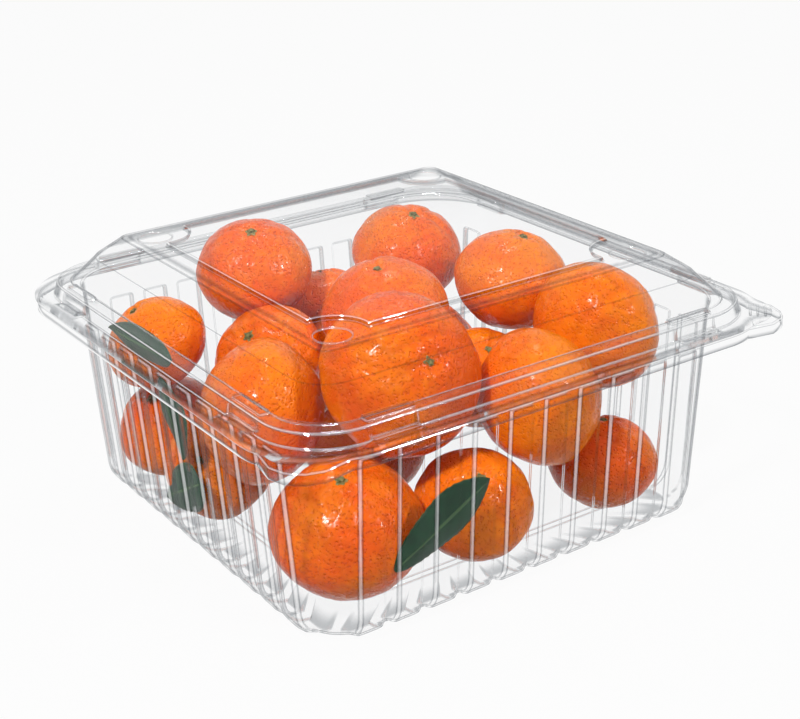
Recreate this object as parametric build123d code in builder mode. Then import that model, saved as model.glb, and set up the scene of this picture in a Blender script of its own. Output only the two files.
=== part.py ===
"""A clear hinged produce pack: a ribbed tray and a domed lid of thin sheet, filled with mandarins.

Lengths are millimetres. The pack stands on Z = 0 with its middle on the Z axis. The hinge runs
along the +Y side and the finger tabs are at the two corners of the -Y side.
"""
from build123d import *
from math import atan2, cos, degrees, hypot, radians, sin, sqrt
import os

# The sheet and its fits
sheet = 0.5
nest_gap = 0.3
overrun = 3.0

# The rim that the lid and the tray share, from the flange's edge inward
pack_width = 190.0
flange_corner = 29.0
flange_top = 71.6
flange_width = 6.4
wall_height = 4.2
wall_lean = 1.4
ledge_width = 5.4

# The lid's dome, its raised panel and its vents
lower_rise = 8.0
lower_run = 7.3
lower_corner = 12.0
upper_rise = 6.2
upper_run = 9.0
upper_corner = 4.0
panel_inset = 8.0
panel_rise = 1.6
vent_radius = 5.6
vent_inset = 9.5
vent_border = 5.9

# The tray's walls, ribs and floor
tray_flange_inset = 0.6
skirt_depth = 3.4
heel_radius = 9.0
wall_foot_inset = 18.6
wall_splay = 4.5
wall_corner = 16.0
rib_count = 10
rib_end = 16.55
rib_width = 8.2
rib_depth = 2.0
rib_top = 63.0
floor_border = 20.4
floor_corner = 10.0
floor_rise = 1.4

# The snap locks near the ends of each side
lock_length = 16.0
lock_end = 38.5
lock_depth = 1.7
lock_height = 2.9
lock_rise = 1.2
lock_inset = 0.6

# The finger tabs at the two front corners, and the grip ridges on the lid's
lid_tab_radius = 13.2
lid_tab_inset = 15.4
tray_tab_radius = 12.2
tray_tab_inset = 12.3
grip_radius = 0.45
grip_length = 9.0
grip_pitch = 2.4
grip_count = 3
grip_reach = 8.6

# The bead along the hinge line
hinge_bead = 0.45
hinge_end = 31.0

# The mandarins: size, shape and the room that they keep
fruit_width = 50.0
fruit_height_share = 0.86
belly_share = 0.47
dimple_radius = 7.0
dimple_depth = 1.8
dimple_lip = 3.0
fruit_gap = 0.2
fruit_wall_gap = 1.1
sink_step = 0.1
rounds = 110

# Each mandarin as laid in: place across and along as shares of the tray's half width, height of
# its middle as a share of the rim's height, width as a share of the usual one, and the lean and
# the turn of its stem in degrees
fruit_shares = [
    (-0.66, -0.66, 0.34, 1.00, 15, 225),
    (-0.05, -0.74, 0.28, 0.80, 30, 250),
    (0.56, -0.75, 0.27, 0.76, 10, 60),
    (-0.75, 0.22, 0.28, 0.78, 60, 215),
    (-0.74, 0.74, 0.28, 0.80, 30, 190),
    (-0.16, -0.04, 0.28, 0.86, 15, 90),
    (0.73, -0.02, 0.27, 0.78, 20, 330),
    (-0.11, 0.72, 0.27, 0.80, 20, 120),
    (0.71, 0.71, 0.29, 0.84, 15, 20),
    (-0.69, -0.12, 0.68, 0.96, 80, 150),
    (0.22, -0.71, 0.71, 0.94, 80, 350),
    (0.73, -0.58, 0.80, 0.94, 75, 10),
    (-0.52, 0.40, 0.66, 0.80, 40, 200),
    (-0.75, 0.67, 0.79, 0.74, 30, 150),
    (0.37, -0.14, 0.64, 0.78, 30, 260),
    (0.44, 0.37, 0.62, 0.76, 25, 10),
    (0.12, 0.80, 0.70, 0.76, 20, 75),
    (-0.33, -0.57, 0.88, 1.08, 60, 265),
    (-0.33, 0.75, 0.88, 0.86, 15, 240),
    (-0.04, 0.12, 0.88, 0.90, 12, 200),
    (0.74, 0.00, 0.94, 0.86, 15, 318),
    (0.58, 0.74, 0.91, 0.86, 15, 280),
]

# The leaves: thin blades against the inside of the tray's walls
leaf_length = 41.0
leaf_width = 17.0
leaf_thickness = 0.4
leaf_wall_gap = 0.2

# Each leaf: its wall by quarter turns from the front, place along it as a share of the half
# width and up it as a share of the rim's height, length and width as shares, and slope in degrees
leaf_shares = [
    (0, -0.44, 0.42, 1.0, 1.0, 31),
    (3, -0.11, 0.28, 0.88, 1.0, 30),
    (3, -0.13, 0.64, 0.72, 1.0, -72),
    (3, -0.34, 0.93, 1.2, 0.7, 5),
]

# Sizes that follow from the ones above
flange_half = pack_width / 2
flange_low = flange_top - sheet
wall_half = flange_half - flange_width
rim_half = wall_half - wall_lean
rim_top = flange_top + wall_height
dome_half = rim_half - ledge_width
lower_half = dome_half - lower_run
upper_half = lower_half - upper_run
lower_top = rim_top + lower_rise
dome_top = lower_top + upper_rise
panel_half = upper_half - panel_inset
vent_half = upper_half - vent_inset
wall_foot = flange_half - wall_foot_inset
floor_panel = 2 * (wall_foot - floor_border)
lock_spread = 2 * (flange_half - lock_end)
hinge_length = 2 * (flange_half - hinge_end)
rib_pitch = 2 * (wall_foot - rib_end) / (rib_count - 1)
corner_middle = flange_half - flange_corner
tray_flange_top = flange_low - nest_gap
tray_flange_low = tray_flange_top - sheet
bead_top = rim_top - sheet - nest_gap
nest_inset = sheet + nest_gap
floor_top = sheet + floor_rise
lock_half = wall_half - lock_depth
rib_places = [(k - (rib_count - 1) / 2) * rib_pitch for k in range(rib_count)]
rib_seats = [
    Location((0, 0, 0), (0, 0, 90 * turn)) * Location((0, place, 0))
    for turn in range(4)
    for place in rib_places
]
lock_seats = [
    Location((0, 0, 0), (0, 0, 90 * turn)) * Location((0, side * lock_spread / 2, 0))
    for turn in range(4)
    for side in (-1, 1)
]
front_corners = [(-1, -1), (1, -1)]

# Each face as seen from the side: points of half width and height
lid_outline = [
    (wall_half, flange_low),
    (rim_half, rim_top),
    (dome_half, rim_top),
    (lower_half, lower_top),
    (upper_half, dome_top),
    (0, dome_top),
]
tray_outline = [(0, 0), (wall_foot, 0), (wall_foot + wall_splay, bead_top)]


def inset(outline, depth):
    """Moves an outline square to itself toward the inside of the form."""
    lines = []
    for (half, height), (next_half, next_height) in zip(outline, outline[1:]):
        run = next_half - half
        rise = next_height - height
        length = hypot(run, rise)
        lines.append((half - rise / length * depth, height + run / length * depth, run, rise))
    ends = [at_height(lines[0], outline[0][1]), at_height(lines[-1], outline[-1][1])]
    bends = [crossing(first, second) for first, second in zip(lines, lines[1:])]
    return ends[:1] + bends + ends[1:]


def at_height(line, height):
    """The point of a line at a height, or its start if the line is level."""
    half, start, run, rise = line
    if rise == 0:
        return (half, start)
    return (half + run * (height - start) / rise, height)


def crossing(first, second):
    """The point where two lines meet."""
    half, height, run, rise = first
    other_half, other_height, other_run, other_rise = second
    span = run * other_rise - rise * other_run
    share = ((other_half - half) * other_rise - (other_height - height) * other_run) / span
    return (half + share * run, height + share * rise)


def stack(points, corners, mode=Mode.ADD):
    """Rounded-square bands through points of half width and height, one above another."""
    rows = list(zip(points, corners))
    for ((half, height), corner), ((next_half, next_height), next_corner) in zip(rows, rows[1:]):
        with BuildSketch(Plane.XY.offset(height)) as low:
            RectangleRounded(2 * half, 2 * half, corner)
        with BuildSketch(Plane.XY.offset(next_height)) as high:
            RectangleRounded(2 * next_half, 2 * next_half, next_corner)
        loft([low.sketch, high.sketch], ruled=True, mode=mode)


def flange_face(height, half, corner, tab_inset, tab_radius):
    """The face of a flange with its two finger tabs."""
    with BuildSketch(Plane.XY.offset(height)) as face:
        RectangleRounded(2 * half, 2 * half, corner)
        tab_half = flange_half - tab_inset
        with Locations(*[(across * tab_half, along * tab_half) for across, along in front_corners]):
            Circle(tab_radius)
    return face.sketch


def panel_face(height, skin):
    """The face of the lid's raised panel, cut back round the vents."""
    with BuildSketch(Plane.XY.offset(height)) as face:
        Rectangle(2 * (panel_half - skin), 2 * (panel_half - skin))
        with GridLocations(2 * vent_half, 2 * vent_half, 2, 2):
            Circle(vent_radius + vent_border + skin, mode=Mode.SUBTRACT)
    return face.sketch


def lock_boxes(near, far, length, low, high, mode=Mode.ADD):
    """A box at each snap lock, between two half widths and two heights."""
    with Locations(*[seat * Location((near, 0, low)) for seat in lock_seats]):
        Box(
            far - near,
            length,
            high - low,
            align=(Align.MIN, Align.CENTER, Align.MIN),
            mode=mode,
        )


def rib_bar(width, skin):
    """One wall rib with its rounded foot, drawn in from its outside by the skin."""
    foot_half = wall_foot + rib_depth - skin
    core_half = wall_foot - heel_radius
    top_half = wall_foot + wall_splay * rib_top / bead_top - skin
    with BuildPart() as bar:
        with BuildSketch(Plane.XZ):
            with BuildLine():
                foot = Line((core_half, skin), (foot_half - heel_radius + skin, skin))
                heel = TangentArc(foot @ 1, (foot_half, heel_radius), tangent=foot % 1)
                Polyline(heel @ 1, (top_half, rib_top), (core_half, rib_top), foot @ 0)
            make_face()
        extrude(amount=width / 2, both=True)
    return bar.part


tray_inside = inset(tray_outline, sheet)
lid_inside = inset(lid_outline, sheet)
tray_corners = [wall_corner, wall_corner + wall_splay]
lid_corners = [half - corner_middle for half, height in lid_outline[:3]]
lid_corners += [lower_corner, upper_corner]
lid_inside_corners = [
    corner - half + inside_half
    for corner, (half, height), (inside_half, inside_height) in zip(
        lid_corners, lid_outline, lid_inside
    )
]

# Ribs
rib_skin = rib_bar(rib_width, 0)
rib_hollow = rib_bar(rib_width - 2 * sheet, sheet)

# The space inside the tray
with BuildPart() as tray_space:
    stack(tray_inside[1:], [corner - sheet for corner in tray_corners])
    fillet(tray_space.edges().group_by(Axis.Z)[0], heel_radius - sheet)
    with Locations(*rib_seats):
        add(rib_hollow)
    with BuildSketch(Plane.XY.offset(sheet)) as rise:
        RectangleRounded(floor_panel + 2 * sheet, floor_panel + 2 * sheet, floor_corner + sheet)
    extrude(rise.sketch, amount=floor_rise, mode=Mode.SUBTRACT)

# Tray
with BuildPart() as tray:
    tray_flange_half = flange_half - tray_flange_inset
    tray_flange_corner = flange_corner - tray_flange_inset
    plate = flange_face(
        tray_flange_low, tray_flange_half, tray_flange_corner, tray_tab_inset, tray_tab_radius
    )
    extrude(plate, amount=sheet)
    extrude(plate, amount=-skirt_depth)
    extrude(offset(plate, -sheet, mode=Mode.PRIVATE), amount=-skirt_depth, mode=Mode.SUBTRACT)
    bead = [(wall_half - nest_inset, tray_flange_low), (rim_half - nest_inset, bead_top)]
    bead_corners = [half - corner_middle for half, height in bead]
    stack(bead, bead_corners)
    stack(
        [(half - sheet, height - sheet) for half, height in bead],
        [corner - sheet for corner in bead_corners],
        mode=Mode.SUBTRACT,
    )
    lock_floor = lock_half - nest_inset
    lock_room = lock_length + 2 * nest_gap
    lock_boxes(
        lock_floor - sheet, rim_half - nest_inset, lock_room + 2 * sheet, tray_flange_low, bead_top
    )
    lock_boxes(
        lock_floor, flange_half, lock_room, tray_flange_top, bead_top + overrun, mode=Mode.SUBTRACT
    )
    stack(tray_outline[1:], tray_corners)
    fillet(tray.edges().group_by(Axis.Z)[0], heel_radius)
    with Locations(*rib_seats):
        add(rib_skin)
    add(tray_space.part, mode=Mode.SUBTRACT)
    with BuildSketch() as underside:
        RectangleRounded(floor_panel, floor_panel, floor_corner)
    extrude(underside.sketch, amount=floor_rise, mode=Mode.SUBTRACT)
tray.part.label = "tray"

# Lid
with BuildPart() as lid:
    extrude(
        flange_face(flange_low, flange_half, flange_corner, lid_tab_inset, lid_tab_radius),
        amount=sheet,
    )
    stack(lid_outline[:2], lid_corners[:2])
    stack(lid_inside[:2], lid_inside_corners[:2], mode=Mode.SUBTRACT)
    lock_boxes(
        lock_half - sheet, rim_half, lock_length, flange_low, flange_top + lock_height
    )
    lock_boxes(
        lock_half, wall_half, lock_length - 2 * sheet, flange_top, flange_top + lock_height - sheet,
        mode=Mode.SUBTRACT,
    )
    lock_boxes(
        lock_half - sheet - overrun, lock_half - sheet, lock_length, flange_low - sheet,
        flange_top + lock_height, mode=Mode.SUBTRACT,
    )
    block_near = dome_half - lock_inset
    block_far = rim_half - lock_inset
    lock_boxes(block_near, block_far, lock_length, rim_top - sheet, rim_top + lock_rise)
    stack(lid_outline[2:5], lid_corners[2:])
    extrude(panel_face(dome_top, 0), amount=panel_rise)
    stack(lid_inside[2:5], lid_inside_corners[2:], mode=Mode.SUBTRACT)
    lock_boxes(
        block_near + sheet, block_far - sheet, lock_length - 2 * sheet, rim_top - sheet,
        rim_top + lock_rise - sheet, mode=Mode.SUBTRACT,
    )
    extrude(panel_face(dome_top - sheet, sheet), amount=panel_rise, mode=Mode.SUBTRACT)
    with BuildSketch(Plane.XY.offset(dome_top)) as vents:
        with GridLocations(2 * vent_half, 2 * vent_half, 2, 2):
            Circle(vent_radius)
    extrude(vents.sketch, amount=-overrun, mode=Mode.SUBTRACT)
    tab_half = flange_half - lid_tab_inset
    for across, along in front_corners:
        corner = Location((across * tab_half, along * tab_half, flange_top), (0, 0, across * 45))
        for ridge in range(grip_count):
            step = along * (grip_reach + (ridge - (grip_count - 1) / 2) * grip_pitch)
            with Locations(corner * Location((0, step, 0), (0, 90, 0))):
                Cylinder(grip_radius, grip_length)
    with Locations(Location((0, flange_half - hinge_bead, flange_top), (0, 90, 0))):
        Cylinder(hinge_bead, hinge_length)
lid.part.label = "lid"


def stem_direction(lean, turn):
    """The way a mandarin's stem points, from its lean off upright and its turn about upright."""
    level = sin(radians(lean))
    return Vector(level * cos(radians(turn)), level * sin(radians(turn)), cos(radians(lean)))


def fruit_form(radius):
    """A mandarin's height over its middle and the radii of its round belly and flatter crown."""
    pole = radius * fruit_height_share
    belly = radius * belly_share
    crown = ((radius - belly) ** 2 + pole**2 - belly**2) / (2 * (pole - belly))
    return pole, belly, crown


def reach(fruit, way):
    """How far a mandarin reaches from its middle one way."""
    radius = fruit["radius"]
    pole, belly, crown = fruit_form(radius)
    along = min(1, abs(fruit["stem"].dot(way)))
    across = sqrt(1 - along**2)
    if across * (crown - pole) < along * (radius - belly):
        return crown - (crown - pole) * along
    return belly + (radius - belly) * across


def push_apart(first, second):
    """Parts two mandarins that press into each other."""
    between = second["middle"] - first["middle"]
    way = between.normalized()
    excess = reach(first, way) + reach(second, way) + fruit_gap - between.length
    if excess > 0:
        first["middle"] -= way * (excess / 2)
        second["middle"] += way * (excess / 2)


def push_in(fruit, turn, half, height, outward, upward, room):
    """Moves a mandarin back inside one flat face of the pack."""
    way = Vector(outward, 0, upward).rotate(Axis.Z, 90 * turn)
    point = Vector(half, 0, height).rotate(Axis.Z, 90 * turn)
    excess = (fruit["middle"] - point).dot(way) + reach(fruit, way) + room
    if excess > 0:
        fruit["middle"] -= way * excess


def facing(start, end):
    """A face's first point and the way that it faces outward, from two of its points."""
    run = end[0] - start[0]
    rise = end[1] - start[1]
    length = hypot(run, rise)
    return (start[0], start[1], rise / length, -run / length)


def settle(fruits):
    """Lets the mandarins sink together until they lie on the floor and on each other."""
    sides = [
        facing(tray_inside[1], tray_inside[2]),
        facing(lid_inside[2], lid_inside[3]),
        facing(lid_inside[3], lid_inside[4]),
    ]
    for step in range(2 * rounds):
        sink = sink_step * max(0, 1 - step / rounds)
        for fruit in fruits:
            fruit["middle"] -= Vector(0, 0, sink)
        for place, first in enumerate(fruits):
            for second in fruits[place + 1 :]:
                push_apart(first, second)
        for fruit in fruits:
            for turn in range(4):
                for side in sides:
                    push_in(fruit, turn, *side, fruit_wall_gap)
            push_in(fruit, 0, 0, dome_top - sheet, 0, 1, fruit_wall_gap)
            push_in(fruit, 0, 0, floor_top, 0, -1, fruit_gap / 2)


# Mandarins
fruits = []
for across, along, up, width, lean, turn in fruit_shares:
    fruits.append(
        {
            "middle": Vector(across * wall_foot, along * wall_foot, up * flange_top),
            "radius": fruit_width / 2 * width,
            "stem": stem_direction(lean, turn),
        }
    )
settle(fruits)

pieces = [tray.part, lid.part]
for place, fruit in enumerate(fruits):
    seat = Plane(origin=fruit["middle"], z_dir=fruit["stem"])
    profile = Plane(origin=fruit["middle"], x_dir=seat.x_dir, z_dir=-seat.y_dir)
    radius = fruit["radius"]
    pole, belly, crown = fruit_form(radius)
    bend = degrees(atan2(crown - pole, radius - belly))
    with BuildPart() as mandarin:
        with BuildSketch(profile) as section:
            with BuildLine():
                base = CenterArc((0, crown - pole), crown, -90, 90 - bend)
                CenterArc((radius - belly, 0), belly, -bend, 2 * bend)
                top = CenterArc((0, pole - crown), crown, bend, 90 - bend)
                Line(top @ 1, base @ 0)
            make_face()
            with Locations((0, pole + dimple_radius - dimple_depth)):
                Circle(dimple_radius, mode=Mode.SUBTRACT)
            rim = section.vertices().sort_by_distance((0, pole))[1]
            fillet(rim, dimple_lip)
        revolve(axis=Axis(fruit["middle"], fruit["stem"]))
    mandarin.part.label = f"mandarin_{place + 1:02d}"
    pieces.append(mandarin.part)

# Leaves
for place, (turn, along, up, length, width, slope) in enumerate(leaf_shares):
    foot, top = tray_inside[1:]
    half, height, outward, upward = facing(foot, top)
    leaf_height = up * flange_top
    leaf_half = foot[0] + (top[0] - foot[0]) * (leaf_height - foot[1]) / (top[1] - foot[1])
    inward = Vector(0, outward, -upward).rotate(Axis.Z, 90 * turn)
    on_wall = Vector(along * wall_foot, -leaf_half, leaf_height).rotate(Axis.Z, 90 * turn)
    level = Vector(1, 0, 0).rotate(Axis.Z, 90 * turn)
    midrib = level.rotate(Axis((0, 0, 0), inward), -slope)
    bed = Plane(origin=on_wall + inward * leaf_wall_gap, x_dir=midrib, z_dir=inward)
    blade_length = leaf_length * length
    blade_width = leaf_width * width
    with BuildPart() as leaf:
        with BuildSketch(bed):
            with BuildLine():
                ends = [(-blade_length / 2, 0), (blade_length / 2, 0)]
                ThreePointArc(ends[0], (0, blade_width / 2), ends[1])
                ThreePointArc(ends[1], (0, -blade_width / 2), ends[0])
            make_face()
        extrude(amount=leaf_thickness)
    leaf.part.label = f"leaf_{place + 1:02d}"
    pieces.append(leaf.part)

os.makedirs("parts", exist_ok=True)
for piece in pieces:
    export_step(piece, f"parts/{piece.label}.step")
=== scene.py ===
"""The looks of a clear hinged fruit pack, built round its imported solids.

The frame is in metres with the pack standing on Z = 0, the hinge along +Y and the finger tabs at
the two corners of the -Y side. Names that end in _MM, and the outlines, are in millimetres.
"""

import math
from functools import partial

import bmesh
import bpy
import numpy as np
from mathutils import Matrix, Vector, noise
from mathutils.bvhtree import BVHTree


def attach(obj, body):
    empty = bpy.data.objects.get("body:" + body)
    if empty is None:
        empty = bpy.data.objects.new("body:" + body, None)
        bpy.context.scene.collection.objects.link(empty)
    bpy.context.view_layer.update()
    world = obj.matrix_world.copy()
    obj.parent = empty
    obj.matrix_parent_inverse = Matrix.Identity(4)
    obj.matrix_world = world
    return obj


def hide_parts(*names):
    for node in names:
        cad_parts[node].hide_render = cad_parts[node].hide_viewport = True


bl_info = {
    "name": "Clear Fruit Pack",
    "version": (1, 0, 0),
    "blender": (4, 5, 0),
    "location": "3D View > Sidebar > Fruit Pack",
    "description": "Peel, leaves and clear sheet for a hinged fruit pack",
    "category": "Object",
}

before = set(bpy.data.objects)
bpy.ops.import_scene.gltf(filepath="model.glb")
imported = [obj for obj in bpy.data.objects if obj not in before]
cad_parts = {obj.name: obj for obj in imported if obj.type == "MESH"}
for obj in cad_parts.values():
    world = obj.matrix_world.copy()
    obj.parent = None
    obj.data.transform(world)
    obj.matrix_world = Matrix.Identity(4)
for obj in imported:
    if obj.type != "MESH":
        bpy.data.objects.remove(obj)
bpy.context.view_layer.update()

MM = 0.001
MANDARINS = sorted(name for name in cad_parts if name.startswith("mandarin_"))
LEAVES = sorted(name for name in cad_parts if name.startswith("leaf_"))

# The bodies that the pieces ride on
TRAY_BODY = "pack"
LID_BODY = "cover"

# Mandarins that differ from the rest, and how much deeper some of them are creased
GOLDEN_MANDARINS = ("02", "11", "12", "14", "15", "21")
FRECKLED_MANDARINS = ("04", "10", "13")
CREASED_MANDARINS = {"01": 1.8, "11": 1.5, "18": 3.2, "12": 1.5}

# How often the peel's ball is subdivided
PEEL_FINENESS = 5

# Colours that are the same on every fruit or leaf
FRECKLE = (0.10, 0.035, 0.01)
GREEN_STEM = (0.13, 0.16, 0.04)
DRY_STEM = (0.42, 0.34, 0.13)
LIGHT_BLADE = (0.018, 0.078, 0.036)
BLADE_RIM = (0.16, 0.24, 0.06)

# Where the round corners of the walls and of the rims have their middles
WALL_MIDDLE_MM = 60.4
RIM_MIDDLE_MM = 66.0

# Levels of the sheets' middles
FLOOR_MM = 0.25
FLOOR_PANEL_MM = 1.65
SKIRT_FOOT_MM = 67.1
FLANGE_MM = 70.55
RIM_MM = 74.75
LID_FLANGE_MM = 71.35
LEDGE_MM = 75.55
DOME_BREAK_MM = 83.65
TOP_MM = 89.75

# Radii of the sheets' bends
SMALL_BEND_MM = 0.7
RIM_BEND_MM = 0.9
LEDGE_BEND_MM = 0.5
DOME_BEND_MM = 1.8
HEEL_BEND_MM = 8.75

# Bends under these radii get a strong painted highlight line and a weaker one, each with painted
# shade beside it, and a cut edge gets a painted dark line of shade
SHARP_BEND = 1.2 * MM
SOFT_BEND = 3.0 * MM
SHARP_PAINTED_LINE = 1.0
SOFT_PAINTED_LINE = 0.7
EDGE_PAINTED_SHADE = 0.6

# The tray's wall: half width at its foot, what that gains up to its full height, and its rows
WALL_FOOT_MM = 76.15
WALL_SPREAD_MM = 4.5
WALL_HEIGHT_MM = 75
WALL_ROWS_MM = (14, 30, 46, 58, 61.2, 61.8, 62.3, 62.8, 63.4, 66)
WALL_TOP = 66 * MM

# The tray's ribs, with the half widths where they rise from the floor and the heights of their end
RIB_COUNT = 10
RIB_PITCH = 13.3 * MM
RIB_WIDTH = 8.2 * MM
RIB_SIDE = 0.85 * MM
RIB_START = (66.5 * MM, 68.0 * MM)
RIB_END = (61.4 * MM, 63.2 * MM)

# The snap locks: recesses in the rims' walls, and a raised strip along the lid's ledge
LOCK_PLACE = 56.5 * MM
LOCK_LENGTH = 16.0 * MM
LOCK_SIDE = 0.35 * MM
TRAY_RECESS = (85.85 * MM, 88.2 * MM)
LID_RECESS = (86.65 * MM, 89.4 * MM)
LID_RECESS_TOP = 74.9 * MM
LEDGE_FLOOR = 75.4 * MM
LEDGE_START = 81 * MM
STRIP_INNER = (82.3 * MM, 82.8 * MM)
STRIP_OUTER = (85.4 * MM, 85.8 * MM)
STRIP_HEIGHT = 1.2 * MM
LEDGE_ROWS_MM = (85.8, 85.6, 85.4, 84.0, 82.8, 82.55, 82.3)

# The finger tabs: way out from the corner's middle, radius, and the flange's half width there
TRAY_TAB = (23.62 * MM, 11.95 * MM, 94.15 * MM)
LID_TAB = (19.23 * MM, 13.2 * MM, 95.0 * MM)
TAB_START = (90 * MM, 92.5 * MM)

# The lid's raised panel and vents: rows of inset, height and the strength of the painted highlight
# and shade line, and rows of radius and height
PANEL_HALF = 57.5 * MM
PANEL_NOTCH = 11.5 * MM
PANEL_STEP = 5.5 * MM
PANEL_STEPS = 8
PANEL_ROWS_MM = (
    (1.6, 91.35, 0), (0.9, 91.35, 0), (0.6, 91.28, 0.7), (0.38, 91.1, 1), (0.26, 90.8, 0.5),
    (0.15, 90.3, 0.5), (0.02, 90.0, 0.8), (-0.25, 89.82, 0.6), (-0.55, TOP_MM, 0),
    (-1.0, TOP_MM, 0),
)
VENT_PLACE = 56.0 * MM
VENT_ROWS_MM = ((6.3, TOP_MM), (6.0, TOP_MM), (5.85, 89.7), (5.75, 89.6), (5.72, 89.45))
# The vents' edges carry a painted highlight line with painted shade beside it
VENT_PAINTED_LINE = 0.8

# The grip ridges on the lid's finger tabs, and half the hinge bead's length, its way and height
GRIP_COUNT = 3
GRIP_CORNER_MM = 79.6
GRIP_HEIGHT_MM = 71.62
GRIP_FIRST_MM = 6.2
GRIP_PITCH_MM = 2.4
GRIP_HALF_MM = 4.5
HINGE_BEAD_MM = (64, 94.5, 71.6)
BEAD_RADIUS = 0.42 * MM

# The photograph's frame and the camera that it was taken with
IMAGE_WIDTH_PX = 800
FOCAL_LENGTH_PX = 1612
SENSOR_WIDTH_MM = 36.0

# The soft boxes: name, size in metres, place and power in watts
LAMPS = (
    ("key_lamp", 0.10, (-0.62, -0.30, 0.85), 9.0),
    ("side_lamp", 0.08, (0.45, -0.75, 0.62), 3.6),
    ("back_lamp", 0.2, (0.25, 0.35, 1.2), 4.2),
)

# The floor: half of its side, the grey that its shadows fall on, and how white it looks
FLOOR_HALF = 4.0
FLOOR_GREY = (0.45, 0.45, 0.45)
FLOOR_GLOW = 0.95
WHITE = (1.0, 1.0, 1.0)


# Shader maths

class Wire:
    """An output of a node that sums and products can be written with."""

    def __init__(self, net, socket):
        self.net = net
        self.socket = socket

    def maths(self, operation, *others):
        inputs = dict(enumerate((self, *others)))
        return self.net.node("ShaderNodeMath", {"operation": operation}, inputs)

    def __add__(self, other):
        return self.maths("ADD", other)

    def __sub__(self, other):
        return self.maths("SUBTRACT", other)

    def __rsub__(self, other):
        return self.net.node("ShaderNodeMath", {"operation": "SUBTRACT"}, {0: other, 1: self})

    def __mul__(self, other):
        return self.maths("MULTIPLY", other)

    def __pow__(self, other):
        return self.maths("POWER", other)

    __radd__ = __add__
    __rmul__ = __mul__

    def beside(self, output):
        """Another output of the same node."""
        return Wire(self.net, self.socket.node.outputs[output])

    def clamped(self):
        return self.net.node("ShaderNodeClamp", {}, {"Value": self})

    def ramp(self, low, high, start=0.0, end=1.0):
        """This value eased from start to end as it goes from low to high."""
        inputs = {"Value": self, "From Min": low, "From Max": high, "To Min": start, "To Max": end}
        return self.net.node("ShaderNodeMapRange", {"interpolation_type": "SMOOTHSTEP"}, inputs)


class Net:
    """The node tree of a new material or of the world."""

    def __init__(self, owner, end="ShaderNodeOutputMaterial"):
        self.owner = owner
        self.end = end
        owner.use_nodes = True
        self.tree = owner.node_tree
        self.tree.nodes.clear()

    def node(self, kind, settings=None, inputs=None, output=0):
        """One node: its settings are set first, then the values or links of its sockets."""
        made = self.tree.nodes.new(kind)
        for name, value in (settings or {}).items():
            setattr(made, name, value)
        for name, value in (inputs or {}).items():
            if isinstance(value, Wire):
                self.tree.links.new(value.socket, made.inputs[name])
            else:
                made.inputs[name].default_value = value
        return Wire(self, made.outputs[output]) if len(made.outputs) else None

    def place(self):
        return self.node("ShaderNodeTexCoord", {}, {}, "Object")

    def noise(self, place, scale, detail=2.0, roughness=0.5):
        inputs = {"Vector": place, "Scale": scale, "Detail": detail, "Roughness": roughness}
        return self.node("ShaderNodeTexNoise", {}, inputs, "Fac")

    def cells(self, feature, place, scale, randomness):
        """The distance from the middles of scattered cells."""
        inputs = {"Vector": place, "Scale": scale, "Randomness": randomness}
        return self.node("ShaderNodeTexVoronoi", {"feature": feature}, inputs, "Distance")

    def blend(self, factor, first, second):
        """A colour between two others."""
        settings = {"data_type": "RGBA"}
        return self.node("ShaderNodeMix", settings, {0: factor, 6: first, 7: second}, 2)

    def bump(self, strength, distance, height):
        inputs = {"Strength": strength, "Distance": distance, "Height": height}
        return self.node("ShaderNodeBump", {}, inputs, "Normal")

    def mixed(self, factor, first, second):
        """A shader between two others."""
        return self.node("ShaderNodeMixShader", {}, {0: factor, 1: first, 2: second})

    def finish(self, shader):
        self.node(self.end, {}, {"Surface": shader})
        return self.owner

    def finish_surface(self, finish):
        return self.finish(self.node("ShaderNodeBsdfPrincipled", {}, finish))


def new_net(name):
    return Net(bpy.data.materials.new(name))


def rgba(colour):
    return (*colour, 1.0)


# Helpers for meshes

def new_mesh(name, shape):
    """A mesh from a finished bmesh."""
    mesh = bpy.data.meshes.new(name)
    shape.to_mesh(mesh)
    shape.free()
    return mesh


def add_object(name, shape, material, body, smooth=True):
    """Makes a finished bmesh a piece that rides on a body."""
    mesh = new_mesh(name, shape)
    mesh.materials.append(material)
    mesh.polygons.foreach_set("use_smooth", [smooth] * len(mesh.polygons))
    piece = bpy.data.objects.new(name, mesh)
    bpy.context.scene.collection.objects.link(piece)
    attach(piece, body)
    return piece


def solid_points(node):
    """A solid's corner points and its triangles, as arrays."""
    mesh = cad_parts[node].data
    points = np.empty(len(mesh.vertices) * 3)
    mesh.vertices.foreach_get("co", points)
    mesh.calc_loop_triangles()
    triangles = np.empty(len(mesh.loop_triangles) * 3, dtype=np.int64)
    mesh.loop_triangles.foreach_get("vertices", triangles)
    return points.reshape(-1, 3), triangles.reshape(-1, 3)


def main_axes(node):
    """A solid's middle, the ways of its longest, middle and shortest reach, and its points."""
    points, triangles = solid_points(node)
    first, second, third = (points[triangles[:, corner]] for corner in range(3))
    areas = np.linalg.norm(np.cross(second - first, third - first), axis=1)
    middles = (first + second + third) / 3
    middle = np.average(middles, axis=0, weights=areas)
    spread = np.cov((middles - middle).T, aweights=areas)
    shortest, medium, longest = np.linalg.eigh(spread)[1].T
    return middle, longest, medium, shortest, points


def number_of(node):
    """The number that a node's name ends in."""
    return node.split("_")[1]


def eased(value, low, high):
    """A smooth step from 0 to 1 as a value goes from low to high."""
    share = max(0.0, min(1.0, (value - low) / (high - low)))
    return share * share * (3 - 2 * share)


def new_corners(grown):
    """The corners among what an extrusion made."""
    return [item for item in grown["geom"] if isinstance(item, bmesh.types.BMVert)]


# Mandarins

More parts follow.
